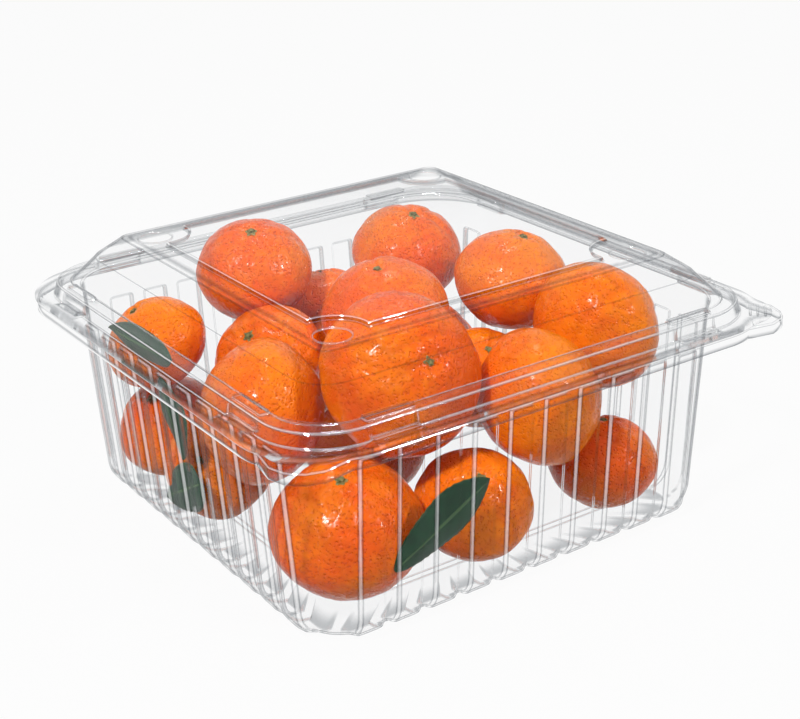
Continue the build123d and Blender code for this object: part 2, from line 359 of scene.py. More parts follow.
class PeelSettings(bpy.types.PropertyGroup):
    """The mandarins' peel."""

    base: bpy.props.FloatVectorProperty(
        name="Peel", description="Main colour of the peel",
        size=3, subtype="COLOR", default=(0.86, 0.104, 0.0008),
    )
    warm: bpy.props.FloatVectorProperty(
        name="Yellow side", description="Colour of the less ripe patches",
        size=3, subtype="COLOR", default=(0.93, 0.225, 0.0015),
    )
    # Painted shade: the oil pits are darkened towards this colour
    painted_pit_shade: bpy.props.FloatVectorProperty(
        name="Pit", description="Colour in the oil pits",
        size=3, subtype="COLOR", default=(0.50, 0.038, 0.0005),
    )
    unevenness: bpy.props.FloatProperty(
        name="Unevenness", description="Depth of the peel's slow swells",
        default=1.2 * MM, unit="LENGTH",
    )
    furrow: bpy.props.FloatProperty(
        name="Furrow", description="Depth of the furrows that run from the stem",
        default=1.3 * MM, unit="LENGTH",
    )
    pit: bpy.props.FloatProperty(
        name="Pit size", description="Distance from one oil pit to the next",
        default=0.95 * MM, unit="LENGTH",
    )


class Mandarin:
    """What a mandarin's solid says of its place and form."""

    def __init__(self, node):
        self.number = number_of(node)
        middle, _, _, shortest, points = main_axes(node)
        self.middle = Vector(middle)
        offsets = points - middle
        from_axis = np.linalg.norm(np.cross(offsets, shortest), axis=1)
        along = offsets[from_axis < 0.5 * MM] @ shortest
        dimple_first = along.max() < -along.min()
        self.stem = Vector(shortest if dimple_first else -shortest)
        self.turn = self.stem.to_track_quat("Z", "Y").to_matrix()
        self.radius = float(from_axis.max())
        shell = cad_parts[node].data
        self.surface = BVHTree.FromPolygons(
            [vertex.co for vertex in shell.vertices], [face.vertices for face in shell.polygons]
        )

    def reach(self, way):
        """How far the solid reaches from its middle one way."""
        return self.surface.ray_cast(self.middle, way)[3]


def peel_material(name, settings, ripeness, freckles):
    """Waxy citrus peel with oil pits that carry painted shade, slow colour patches and a few dark
    freckles.
    """
    net = new_net(name)
    place = net.place()
    pitting = net.cells("SMOOTH_F1", place, 1 / settings.pit, 0.9).ramp(0.05, 0.42)
    patches = net.noise(place, 38.0, 3.0, 0.6)
    mottle = net.noise(place, 420.0, 3.0, 0.65)
    warmth = (patches.ramp(0.35, 0.7) * 0.75 + mottle.ramp(0.35, 0.75) * 0.35 + ripeness).clamped()
    skin = net.blend(warmth, rgba(settings.base), rgba(settings.warm))
    # Painted shade: the oil pits, which the bump also sinks, are darkened towards the pit colour
    skin = net.blend((1 - pitting) * 0.38, skin, rgba(settings.painted_pit_shade))
    spots = net.cells("F1", place, 260.0, 1.0)
    sparse = net.noise(place, 90.0, 1.0).ramp(0.52, 0.66)
    freckle = spots.ramp(0.05, 0.12, 1.0, 0.0) * sparse * freckles
    skin = net.blend(freckle, skin, rgba(FRECKLE))
    swell = net.noise(place, 210.0, 2.0, 0.5)
    return net.finish_surface({
        "Base Color": skin,
        "Roughness": mottle.ramp(0.3, 0.8, 0.18, 0.32),
        "IOR": 1.5,
        "Specular IOR Level": 0.14,
        "Coat Weight": 0.08,
        "Coat Roughness": 0.08,
        "Subsurface Weight": 0.12,
        "Subsurface Radius": (1.6 * MM, 0.5 * MM, 0.12 * MM),
        "Subsurface Scale": 1.0,
        "Normal": net.bump(1.0, 0.5 * MM, pitting * 0.7 + swell * 1.8 + mottle * 0.35),
    })


def stem_material():
    """The dry star that is left where the stem was."""
    net = new_net("stem_button")
    grain = net.noise(net.place(), 1500.0, 3.0, 0.7)
    return net.finish_surface({
        "Base Color": net.blend(grain.ramp(0.35, 0.7), rgba(GREEN_STEM), rgba(DRY_STEM)),
        "Roughness": 0.7,
        "Normal": net.bump(0.7, 0.2 * MM, grain),
    })


def swell_share(local, shift):
    """How far the peel's slow swells lower a point, from about 0 to 1."""
    return 0.5 + 0.5 * (noise.noise(local * 1.7 + shift) + 0.35 * noise.noise(local * 4.3 + shift))


def furrow_share(local, shift, furrows, seed):
    """How deep a point lies in the furrows that wander away from the stem, from 0 to about 1."""
    from_stem = math.acos(max(-1.0, min(1.0, local.z)))
    round_stem = math.atan2(local.y, local.x)
    wobble = 0.9 * noise.noise(local * 2.2 - shift)
    line = (0.5 + 0.5 * math.cos(furrows * (round_stem + wobble * 0.5))) ** 5
    fade = max(0.0, 1 - from_stem / 1.5) ** 1.5 * min(1.0, from_stem / 0.18)
    vary = 0.6 + 0.8 * noise.noise(Vector((round_stem * 1.3, seed, 0.5)))
    return line * fade * max(0.0, vary)


def crease_share(local, shift):
    """How deep a point lies in the peel's short creases."""
    return abs(noise.noise(local * 9.0 + shift) * noise.noise(local * 3.1 - shift))


def shape_peel(fruit, settings, seed, fineness):
    """A ball drawn onto the mandarin's solid, then lowered by swells, furrows and creases."""
    shape = bmesh.new()
    bmesh.ops.create_icosphere(shape, subdivisions=fineness, radius=1.0)
    crease = CREASED_MANDARINS.get(fruit.number, 1.0)
    furrows = (4 if crease > 1 else 6) + seed % 4
    shift = Vector((7.3 * seed, 3.1 * seed, 1.7 * seed))
    furrow_depth = settings.furrow * (0.5 + (seed * 37 % 10) / 10) * 1.5 * crease
    crease_depth = settings.unevenness * 0.6 * crease
    for vertex in shape.verts:
        local = vertex.co.copy()
        way = fruit.turn @ local
        reach = fruit.reach(way) or fruit.radius
        lowered = settings.unevenness * swell_share(local, shift)
        lowered += furrow_depth * furrow_share(local, shift, furrows, seed)
        lowered += crease_depth * crease_share(local, shift)
        vertex.co = fruit.middle + way * (reach - lowered - 0.05 * MM)
    bmesh.ops.recalc_face_normals(shape, faces=shape.faces)
    return shape


def shape_button(fruit, lowered):
    """A small five-lobed star with a stub, sunk in the mandarin's dimple."""
    shape = bmesh.new()
    lobes, points = 5, 20
    bmesh.ops.create_circle(shape, cap_ends=True, segments=points, radius=2.0 * MM)
    for place, vertex in enumerate(shape.verts):
        vertex.co *= 1.0 + 0.32 * math.cos(2 * math.pi * lobes * place / points)
    grown = bmesh.ops.extrude_face_region(shape, geom=shape.faces[:])
    raised = new_corners(grown)
    bmesh.ops.translate(shape, verts=raised, vec=(0, 0, 0.5 * MM))
    bmesh.ops.scale(shape, verts=raised, vec=(0.75, 0.75, 1.0))
    cap = [item for item in grown["geom"] if isinstance(item, bmesh.types.BMFace)]
    bmesh.ops.inset_region(shape, faces=cap, thickness=0.5 * MM, depth=-0.25 * MM)
    bmesh.ops.inset_region(shape, faces=cap, thickness=0.25 * MM, depth=0.8 * MM)
    bmesh.ops.recalc_face_normals(shape, faces=shape.faces)
    reach = fruit.reach(fruit.stem) - lowered
    seat = Matrix.Translation(fruit.middle + fruit.stem * (reach - 0.15 * MM))
    bmesh.ops.transform(shape, matrix=seat @ fruit.turn.to_4x4(), verts=shape.verts)
    return shape


class PACK_OT_mandarins(bpy.types.Operator):
    """Draws the peel and the stem button of each mandarin over its solid"""

    bl_idname = "fruit_pack.mandarins"
    bl_label = "Mandarins"

    def execute(self, context):
        settings = context.scene.pack_peel
        ripe = peel_material("peel_ripe", settings, -0.12, 0.5)
        golden = peel_material("peel_golden", settings, 0.3, 0.2)
        freckled = peel_material("peel_freckled", settings, 0.1, 1.0)
        button = stem_material()
        kinds = {number: golden for number in GOLDEN_MANDARINS}
        kinds |= {number: freckled for number in FRECKLED_MANDARINS}
        fineness = PEEL_FINENESS
        for seed, node in enumerate(MANDARINS, start=3):
            fruit = Mandarin(node)
            shape = shape_peel(fruit, settings, seed, fineness)
            material = kinds.get(fruit.number, ripe)
            peel = add_object(f"peel_{fruit.number}", shape, material, TRAY_BODY)
            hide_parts(node)
            star = shape_button(fruit, settings.unevenness * 0.5)
            add_object(f"stem_button_{fruit.number}", star, button, TRAY_BODY, False)
        return {"FINISHED"}


# Leaves

class LeafSettings(bpy.types.PropertyGroup):
    """The loose leaves."""

    blade: bpy.props.FloatVectorProperty(
        name="Blade", description="Colour of the blade",
        size=3, subtype="COLOR", default=(0.009, 0.043, 0.020),
    )
    vein: bpy.props.FloatVectorProperty(
        name="Vein", description="Colour of the midrib and the veins",
        size=3, subtype="COLOR", default=(0.10, 0.20, 0.075),
    )
    fold: bpy.props.FloatProperty(
        name="Fold", description="How far the blade's edges rise from its midrib",
        default=1.6 * MM, unit="LENGTH",
    )


def leaf_material(settings):
    """Satin citrus leaf with a pale midrib and veins that follow the blade's own map."""
    net = new_net("citrus_leaf")
    flat = net.node("ShaderNodeUVMap", {"uv_map": "blade"}, {})
    along = net.node("ShaderNodeSeparateXYZ", {}, {"Vector": flat}, "X")
    off = (along.beside("Y") - 0.5).maths("ABSOLUTE") * 2
    midrib = off.ramp(0.02, 0.07, 1.0, 0.0)
    sweep = (along * 13 + off * 2.6).maths("FRACT")
    veins = (sweep - 0.5).maths("ABSOLUTE").ramp(0.0, 0.07, 1.0, 0.0) * (1 - off) * 0.45
    mottle = net.noise(net.place(), 320.0, 4.0, 0.6)
    blade = net.blend(mottle.ramp(0.3, 0.75), rgba(settings.blade), rgba(LIGHT_BLADE))
    line = (midrib + veins).clamped()
    colour = net.blend(line * 0.75, blade, rgba(settings.vein))
    return net.finish_surface({
        "Base Color": net.blend(off.ramp(0.93, 1.0) * 0.5, colour, rgba(BLADE_RIM)),
        "Roughness": mottle.ramp(0.3, 0.8, 0.36, 0.5),
        "Specular IOR Level": 0.25,
        "Normal": net.bump(0.5, 0.25 * MM, line * -1.0 + mottle * 0.35),
    })


def shape_leaf(node, settings, seed):
    """A folded, slightly waved blade in the place of the leaf's flat solid."""
    *axes, points = main_axes(node)
    middle, longest, medium, inward = map(Vector, axes)
    if inward.dot(Vector((-middle.x, -middle.y, 0))) < 0:
        inward = -inward
    fill = 0.97
    half = max((Vector(point) - middle).dot(longest) for point in points)
    half_width = max((Vector(point) - middle).dot(medium) for point in points)
    shape = bmesh.new()
    bmesh.ops.create_grid(shape, x_segments=36, y_segments=12, size=1.0)
    blade_map = shape.loops.layers.uv.new("blade")
    for face in shape.faces:
        for loop in face.loops:
            spot = loop.vert.co
            loop[blade_map].uv = ((spot.x + 1) / 2, (spot.y + 1) / 2)
    for vertex in shape.verts:
        along, across = vertex.co.x, vertex.co.y
        outline = max((1 - abs(along) ** 2.2) ** 0.75 * (1 - 0.16 * along), 0.03)
        notch = 1 + 0.025 * math.sin(along * 46 + seed)
        wave = 0.35 * MM * math.sin(along * 5 + seed) * across
        curl = 0.6 * MM * (1 + along) ** 2 * 0.25
        lift = settings.fold * abs(across) ** 1.4 * outline + wave + curl
        vertex.co = (
            middle
            + longest * (along * half * fill)
            + medium * (across * half_width * outline * notch * fill)
            + inward * (max(lift, 0.0) + 0.1 * MM)
        )
    bmesh.ops.solidify(shape, geom=shape.faces[:], thickness=0.3 * MM)
    bmesh.ops.recalc_face_normals(shape, faces=shape.faces)
    return shape


class PACK_OT_leaves(bpy.types.Operator):
    """Shapes each loose leaf in the place of its flat solid"""

    bl_idname = "fruit_pack.leaves"
    bl_label = "Leaves"

    def execute(self, context):
        settings = context.scene.pack_leaf
        material = leaf_material(settings)
        for seed, node in enumerate(LEAVES):
            shape = shape_leaf(node, settings, seed)
            blade = add_object(f"blade_{number_of(node)}", shape, material, TRAY_BODY)
            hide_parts(node)
        return {"FINISHED"}


# Clear sheet

class SheetSettings(bpy.types.PropertyGroup):
    """The clear sheet of the tray and the lid."""

    tint: bpy.props.FloatVectorProperty(
        name="Clear", description="What the sheet lets through seen square on",
        size=3, subtype="COLOR", default=(0.985, 0.986, 0.987),
    )
    # Painted shade: the sheet is darkened towards this grey where it turns edge on
    edge: bpy.props.FloatVectorProperty(
        name="Edge", description="What the sheet lets through seen nearly edge on",
        size=3, subtype="COLOR", default=(0.38, 0.40, 0.42),
    )
    shine: bpy.props.FloatProperty(
        name="Shine", description="Share of light that the sheet mirrors seen square on",
        default=0.004, min=0.0, max=1.0, subtype="FACTOR",
    )
    gloss: bpy.props.FloatProperty(
        name="Gloss roughness", description="Roughness of the sheet's reflections",
        default=0.035, min=0.0, max=1.0, subtype="FACTOR",
    )
    thickness: bpy.props.FloatProperty(
        name="Thickness", description="Thickness of the sheet", default=0.5 * MM, unit="LENGTH",
    )
    rib_depth: bpy.props.FloatProperty(
        name="Rib depth", description="How far the tray's ribs stand out of its walls",
        default=2.0 * MM, unit="LENGTH",
    )


def sheet_material(settings):
    """Thin clear plastic: it lets light through, dims it edge on as painted shade, and mirrors it
    at a slant, with painted highlight lines and painted shade along its bends.
    """
    net = new_net("clear_film")
    place = net.place()
    ripple = net.noise(place, 60.0, 2.0, 0.5) + net.noise(place, 260.0, 2.0, 0.5) * 0.10
    bump = net.bump(0.16, 0.5 * MM, ripple)
    slant = net.node("ShaderNodeLayerWeight", {}, {"Blend": 0.5, "Normal": bump}, "Facing")
    clear = net.node("ShaderNodeBsdfTransparent", {}, {"Color": rgba(settings.tint)})
    # Painted shade: the grey that shows through where the sheet turns edge on
    dim = net.node("ShaderNodeBsdfTransparent", {}, {"Color": rgba(settings.edge)})
    bend = net.node("ShaderNodeAttribute", {"attribute_name": "bend"}, {}, "Fac")
    # Painted highlight and shade: the bend mask makes white lines along bends and darkens what
    # shows through beside them
    line = bend.ramp(0.62, 0.96)
    painted_flank_shade = bend.ramp(0.25, 0.6) * (1 - line)
    # Painted shade: what shows through is darkened where the sheet turns edge on and beside its
    # painted bend lines
    painted_edge_shade = (slant.ramp(0.68, 0.86) * 0.7 + painted_flank_shade * 0.4).clamped()
    through = net.mixed(painted_edge_shade, clear, dim)
    finish = {"Color": rgba(WHITE), "Roughness": settings.gloss, "Normal": bump}
    mirror = net.node("ShaderNodeBsdfAnisotropic", {}, finish)
    # The mirror share grows with the slant, and the bend mask adds a painted highlight along bends
    share = slant.ramp(0.80, 0.97, 0.0, 0.6) + slant ** 7 * 0.36 + line * 0.27 + settings.shine
    return net.finish(net.mixed(share, through, mirror))


class Bend:
    """One corner of a formed sheet's outline: half width, height and the radius of its bend."""

    def __init__(self, half, height, radius=0.0, middle=RIM_MIDDLE_MM):
        self.half = half * MM
        self.height = height * MM
        self.radius = radius * MM
        self.middle = middle * MM

    def line(self):
        """How strong a painted highlight line, with painted shade beside it, the bend shows."""
        if self.radius < SHARP_BEND:
            return SHARP_PAINTED_LINE
        return SOFT_PAINTED_LINE if self.radius < SOFT_BEND else 0.0


def bent_rows(bends, steps=5, hold=0.35 * MM):
    """Rows that follow an outline's rounded bends: half width, height, corner middle and the
    strength of the painted highlight and shade line.
    """
    rows = [(bends[0].half, bends[0].height, bends[0].middle, 0.0)]
    for before, bend, after in zip(bends, bends[1:], bends[2:]):
        here = Vector((bend.half, bend.height))
        if bend.radius == 0:
            rows.append((*here, bend.middle, 0.0))
            continue
        back = (Vector((before.half, before.height)) - here).normalized()
        onward = (Vector((after.half, after.height)) - here).normalized()
        half_angle = back.angle(onward) / 2
        reach = bend.radius / math.tan(half_angle)
        hub = here + (back + onward).normalized() * (bend.radius / math.sin(half_angle))
        start = here + back * reach
        end = here + onward * reach
        first = (start - hub).normalized()
        last = (end - hub).normalized()
        rows.append((*(start + back * hold), bend.middle, 0.0))
        for step in range(steps + 1):
            spoke = first.slerp(last, step / steps) * bend.radius
            line = math.sin(math.pi * step / steps) * bend.line()
            rows.append((*(hub + spoke), bend.middle, line))
        rows.append((*(end + onward * hold), bend.middle, 0.0))
    rows.append((bends[-1].half, bends[-1].height, bends[-1].middle, EDGE_PAINTED_SHADE))
    return rows


def ring_stations(places, angles):
    """Stations round a rounded square: a quarter turn with a place along it, or with an angle."""
    stations = []
    for turn in range(4):
        stations += [(turn, place, None) for place in places]
        stations += [(turn, None, angle) for angle in angles]
    return stations


def station_point(station, half, middle, last):
    """Where a station lies on a rounded square, with its way out, both in the first quarter."""
    place, angle = station[1:]
    if angle is None:
        return Vector((half, place * middle / last)), Vector((1.0, 0.0))
    way = Vector((math.cos(angle), math.sin(angle)))
    return Vector((middle, middle)) + way * (half - middle), way


def quarter(flat, turn):
    """Turns a flat point by quarter turns about the pack's middle."""
    across, along = flat
    for step in range(turn):
        across, along = -along, across
    return across, along


def ring_edges(ring):
    """The edges between the neighbours of a ring."""
    edges = []
    for first, second in zip(ring, ring[1:] + ring[:1]):
        edges += [edge for edge in first.link_edges if edge.other_vert(first) == second]
    return edges


def partner(vertex, fresh):
    """The new corner that was drawn out of an old one."""
    return next(
        edge.other_vert(vertex) for edge in vertex.link_edges if edge.other_vert(vertex) in fresh
    )


def drawn_out(shape, ring):
    """A new ring, joined to the old one by faces."""
    fresh = set(new_corners(bmesh.ops.extrude_edge_only(shape, edges=ring_edges(ring))))
    return [partner(vertex, fresh) for vertex in ring]


def form_sheet(shape, rows, stations, last, feature, cap):
    """Draws rings out one after another along a formed sheet's rows, and returns the last one."""
    # Each corner keeps the strength of its painted highlight and shade line
    painted_line_layer = shape.verts.layers.float.get("bend") or shape.verts.layers.float.new("bend")
    made = bmesh.ops.create_circle(shape, cap_ends=cap, segments=len(stations), radius=1.0)
    ring = made["verts"]
    for number, row in enumerate(rows):
        if number:
            ring = drawn_out(shape, ring)
        for vertex, station in zip(ring, stations):
            vertex.co, vertex[painted_line_layer] = feature(station, row, last)
    return ring


def tab_reach(angle, radius, tab_offset, tab_radius):
    """How far a flange reaches from its corner's middle, with its finger tab."""
    turn = angle - math.pi / 4
    side = tab_offset * math.sin(turn)
    if abs(side) >= tab_radius:
        return radius
    return max(radius, tab_offset * math.cos(turn) + math.sqrt(tab_radius**2 - side**2))


def place_on_flange(station, row, last, tab):
    """A flat point of a row, reaching out to the finger tabs at the two front corners."""
    half, middle = row[0], row[2]
    turn, angle = station[0], station[2]
    flat, way = station_point(station, half, middle, last)
    if angle is not None and turn in (2, 3) and half > TAB_START[0]:
        tab_offset, tab_radius, flange_half = tab
        row_radius = tab_radius - (flange_half - half)
        reach = tab_reach(angle, half - middle, tab_offset, row_radius)
        flat += way * (reach - (half - middle)) * eased(half, *TAB_START)
    return flat


def painted_line_beside(share):
    """How strong a painted highlight and shade line a feature's side shows, strongest where the
    feature is half there.
    """
    return 4 * share * (1 - share)


def lock_share(along):
    """1 along a snap lock and 0 away from it."""
    off = abs(abs(along) - LOCK_PLACE) - LOCK_LENGTH / 2
    return 1 - eased(off, -LOCK_SIDE, LOCK_SIDE)


def rib_share(along):
    """1 along a rib of the tray's wall and 0 between the ribs."""
    nearest = round(along / RIB_PITCH - 0.5) + 0.5
    nearest = max(-RIB_COUNT / 2 + 0.5, min(RIB_COUNT / 2 - 0.5, nearest))
    off = abs(along - nearest * RIB_PITCH) - RIB_WIDTH / 2
    return 1 - eased(off, -RIB_SIDE, RIB_SIDE)


def tray_point(rib_depth, station, row, last):
    """A tray row's point with its rib, snap lock or finger tab, and its painted highlight and
    shade line.
    """
    half, height, _, line = row
    flat = place_on_flange(station, row, last, TRAY_TAB)
    if height < WALL_TOP:
        fade = (1 - eased(height, *RIB_END)) * eased(half, *RIB_START)
        across = fade * rib_share(flat.y) * (flat.x > last)
        along = fade * rib_share(flat.x) * (flat.y > last)
        flat += Vector((across, along)) * rib_depth
        line = max(line, painted_line_beside(across), painted_line_beside(along))
    elif TRAY_RECESS[0] < half < TRAY_RECESS[1]:
        share = lock_share(flat.y) if station[2] is None else 0.0
        flat.x -= share * (half - TRAY_RECESS[0])
        line = max(line, painted_line_beside(share))
    return (*quarter(flat, station[0]), height), line


def lid_point(station, row, last):
    """A lid row's point with its snap lock or finger tab, and its painted highlight and shade
    line.
    """
    half, height, _, line = row
    flat = place_on_flange(station, row, last, LID_TAB)
    share = lock_share(flat.y) if station[2] is None else 0.0
    if height < LID_RECESS_TOP and LID_RECESS[0] < half < LID_RECESS[1]:
        flat.x -= share * (half - LID_RECESS[0])
        line = max(line, painted_line_beside(share))
    if height > LEDGE_FLOOR and half > LEDGE_START:
        raised = share * eased(half, *STRIP_INNER) * (1 - eased(half, *STRIP_OUTER))
        height += raised * STRIP_HEIGHT
        line = max(line, painted_line_beside(raised))
    return (*quarter(flat, station[0]), height), line


def panel_point(station, row, last):
    """A point of the raised panel's edge, which is cut back round the vents, and its painted
    highlight and shade line.
    """
    turn, place, angle = station
    inset, height, line = row
    edge = PANEL_HALF - inset
    notch = PANEL_NOTCH + inset
    past_vent = edge - VENT_PLACE
    run = math.sqrt(notch**2 - past_vent**2)
    if angle is None:
        flat = Vector((edge, place / last * (VENT_PLACE - run)))
    else:
        start = math.atan2(-run, past_vent)
        sweep = math.pi / 2 + 2 * math.atan2(past_vent, run)
        swing = start - sweep * angle / (math.pi / 2)
        hub = Vector((VENT_PLACE, VENT_PLACE))
        flat = hub + Vector((math.cos(swing), math.sin(swing))) * notch
    return (*quarter(flat, turn), height), line


def rib_places():
    """Places along a tray wall, close together at the ribs' sides."""
    steps = (-0.9, -0.5, -0.15, 0.2, 0.55, 0.95)
    offs = [side * RIB_WIDTH / 2 + step * MM for side in (-1, 1) for step in steps]
    offs += [step * MM for step in (-2.0, 0.0, 2.0)]
    middles = [(number - (RIB_COUNT - 1) / 2) * RIB_PITCH for number in range(RIB_COUNT)]
    places = [middle + off for middle in middles for off in offs]
    return sorted(place for place in places if abs(place) <= WALL_MIDDLE_MM * MM)


def lock_places():
    """Places along the lid's side, close together at the ends of the snap locks."""
    offs = [-0.5, -0.3, -0.1, 0.1, 0.3, 0.5]
    ends = [LOCK_PLACE - LOCK_LENGTH / 2, LOCK_PLACE + LOCK_LENGTH / 2]
    places = [side * (end + off * MM) for side in (-1, 1) for end in ends for off in offs]
    places += [step * 6.0 * MM for step in range(-7, 8)]
    places += [side * place for side in (-1, 1) for place in (LOCK_PLACE, RIM_MIDDLE_MM * MM)]
    return sorted(places)


def wall_half(height):
    """The half width of the tray's wall at a height, in millimetres."""
    return WALL_FOOT_MM + WALL_SPREAD_MM * height / WALL_HEIGHT_MM


def shape_tray(rib_depth):
    """The tray's floor, ribbed walls, rim and flange, drawn out from the middle of its floor."""
    bends = [
        Bend(50, FLOOR_PANEL_MM, 0, 42),
        Bend(55.75, FLOOR_PANEL_MM, SMALL_BEND_MM, 46),
        Bend(56.6, FLOOR_MM, SMALL_BEND_MM, 46),
        Bend(WALL_FOOT_MM, FLOOR_MM, HEEL_BEND_MM, WALL_MIDDLE_MM),
        *(Bend(wall_half(height), height, 0, WALL_MIDDLE_MM) for height in WALL_ROWS_MM),
        Bend(wall_half(RIM_MM), RIM_MM, RIM_BEND_MM, WALL_MIDDLE_MM),
        Bend(86.15, RIM_MM, RIM_BEND_MM),
        Bend(87.55, FLANGE_MM, SMALL_BEND_MM),
        Bend(94.15, FLANGE_MM, SMALL_BEND_MM),
        Bend(94.15, SKIRT_FOOT_MM),
    ]
    near_side = [0.02 * step for step in range(1, 16)] + [0.4, 0.55, 0.7]
    far_side = [math.pi / 2 - angle for angle in reversed(near_side)]
    stations = ring_stations(rib_places(), near_side + [math.pi / 4] + far_side)
    shape = bmesh.new()
    feature = partial(tray_point, rib_depth)
    form_sheet(shape, bent_rows(bends), stations, WALL_MIDDLE_MM * MM, feature, True)
    bmesh.ops.recalc_face_normals(shape, faces=shape.faces)
    return shape


def vent_rim(shape, across, along):
    """A vent's edge, rolled a little downward, and the loop that joins it to the lid's top."""
    painted_line_layer = shape.verts.layers.float["bend"]
    radius, height = (size * MM for size in VENT_ROWS_MM[0])
    seat = Matrix.Translation((across, along, height))
    ring = bmesh.ops.create_circle(shape, segments=40, radius=radius, matrix=seat)["verts"]
    loop = ring_edges(ring)
    for (radius, height), (next_radius, next_height) in zip(VENT_ROWS_MM, VENT_ROWS_MM[1:]):
        ring = drawn_out(shape, ring)
        for vertex in ring:
            spoke = Vector((vertex.co.x - across, vertex.co.y - along)) * (next_radius / radius)
            vertex.co = (across + spoke.x, along + spoke.y, next_height * MM)
            # Painted highlight and shade line along the vent's rolled edge
            vertex[painted_line_layer] = VENT_PAINTED_LINE
    return loop


def shape_lid():
    """The lid's flange, wall, ledge, dome, raised panel and vents."""
    bends = [
        Bend(94.95, LID_FLANGE_MM),
        Bend(88.3, LID_FLANGE_MM, SMALL_BEND_MM),
        Bend(86.95, LEDGE_MM, RIM_BEND_MM),
        *(Bend(half, LEDGE_MM) for half in LEDGE_ROWS_MM),
        Bend(81.9, LEDGE_MM, LEDGE_BEND_MM),
        Bend(74.4, DOME_BREAK_MM, DOME_BEND_MM, 62.5),
        Bend(65.35, TOP_MM, DOME_BEND_MM, 61.5),
        Bend(62.9, TOP_MM, 0, 61.5),
    ]
    angles = [step / 18 * math.pi / 2 for step in range(1, 18)]
    stations = ring_stations(lock_places(), angles)
    shape = bmesh.new()
    edge = form_sheet(shape, bent_rows(bends), stations, RIM_MIDDLE_MM * MM, lid_point, False)
    rows = [(inset * MM, height * MM, line) for inset, height, line in PANEL_ROWS_MM]
    places = [step * PANEL_STEP for step in range(-PANEL_STEPS, PANEL_STEPS + 1)]
    stations = ring_stations(places, angles)
    foot = form_sheet(shape, rows, stations, PANEL_STEPS * PANEL_STEP, panel_point, True)
    loops = ring_edges(edge) + ring_edges(foot)
    for across, along in ((1, 1), (-1, 1), (-1, -1), (1, -1)):
        loops += vent_rim(shape, across * VENT_PLACE, along * VENT_PLACE)
    bmesh.ops.triangle_fill(shape, use_beauty=True, edges=loops, normal=(0, 0, 1))
    bmesh.ops.recalc_face_normals(shape, faces=shape.faces)
    return shape


def shape_bar(shape, start, end, radius):
    """A round bar with round ends between two points."""
    half_length = (end - start).length / 2 - radius
    made = bmesh.ops.create_uvsphere(shape, u_segments=12, v_segments=12, radius=radius)
    turn = (end - start).to_track_quat("Z", "Y")
    for vertex in made["verts"]:
        vertex.co.z += math.copysign(half_length, vertex.co.z)
        vertex.co = (start + end) / 2 + turn @ vertex.co


def shape_grips():
    """The grip ridges on the lid's two finger tabs."""
    shape = bmesh.new()
    for across in (-1, 1):
        outward = Vector((across, -1, 0)).normalized()
        level = Vector((-outward.y, outward.x, 0)) * GRIP_HALF_MM
        corner = Vector((across * GRIP_CORNER_MM, -GRIP_CORNER_MM, GRIP_HEIGHT_MM))
        for ridge in range(GRIP_COUNT):
            middle = corner + outward * (GRIP_FIRST_MM + GRIP_PITCH_MM * ridge)
            shape_bar(shape, (middle - level) * MM, (middle + level) * MM, BEAD_RADIUS)
    return shape


def shape_hinge_bead():
    """The bead along the hinge line."""
    shape = bmesh.new()
    half, along, height = HINGE_BEAD_MM
    ends = [Vector((side * half, along, height)) * MM for side in (-1, 1)]
    shape_bar(shape, *ends, BEAD_RADIUS)
    return shape


def thicken(piece, thickness):
    """Gives a formed sheet its wall."""
    wall = piece.modifiers.new("wall", "SOLIDIFY")
    wall.thickness = thickness
    wall.offset = 0.0


class PACK_OT_tray(bpy.types.Operator):
    """Forms the tray's ribbed clear sheet"""

    bl_idname = "fruit_pack.tray"
    bl_label = "Tray"

    def execute(self, context):
        settings = context.scene.pack_sheet
        material = sheet_material(settings)
        shape = shape_tray(settings.rib_depth)
        tray = add_object("tray_sheet", shape, material, TRAY_BODY)
        thicken(tray, settings.thickness)
        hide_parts("tray")
        return {"FINISHED"}


class PACK_OT_lid(bpy.types.Operator):
    """Forms the lid's domed clear sheet with its vents, grips and hinge bead"""

    bl_idname = "fruit_pack.lid"
    bl_label = "Lid"

    def execute(self, context):
        settings = context.scene.pack_sheet
        material = bpy.data.materials.get("clear_film") or sheet_material(settings)
        lid = add_object("lid_sheet", shape_lid(), material, LID_BODY)
        thicken(lid, settings.thickness)
        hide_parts("lid")
        add_object("grip_ridges", shape_grips(), material, LID_BODY)
        add_object("hinge_bead", shape_hinge_bead(), material, LID_BODY)
        return {"FINISHED"}


# Stage

class StageSettings(bpy.types.PropertyGroup):
    """The floor, the lamps and the camera."""

    azimuth: bpy.props.FloatProperty(
        name="Azimuth", description="The camera's way round the pack",
        default=math.radians(-33.9), unit="ROTATION",
    )
    elevation: bpy.props.FloatProperty(
        name="Elevation", description="The camera's angle above the floor",
        default=math.radians(23.0), unit="ROTATION",
    )
    roll: bpy.props.FloatProperty(
        name="Roll", description="The camera's turn about its own view",
        default=math.radians(-1.8), unit="ROTATION",
    )
    distance: bpy.props.FloatProperty(
        name="Distance", description="From the camera to the point that it looks at",
        default=547 * MM, unit="LENGTH",
    )
    aim: bpy.props.FloatVectorProperty(
        name="Aim", description="The point that the camera and the lamps look at",
        size=3, subtype="TRANSLATION", default=(3.0 * MM, -2.3 * MM, 48.7 * MM),
    )
    sky: bpy.props.FloatProperty(
        name="Sky", description="Strength of the even light from all round",
        default=0.21, min=0.0,
    )


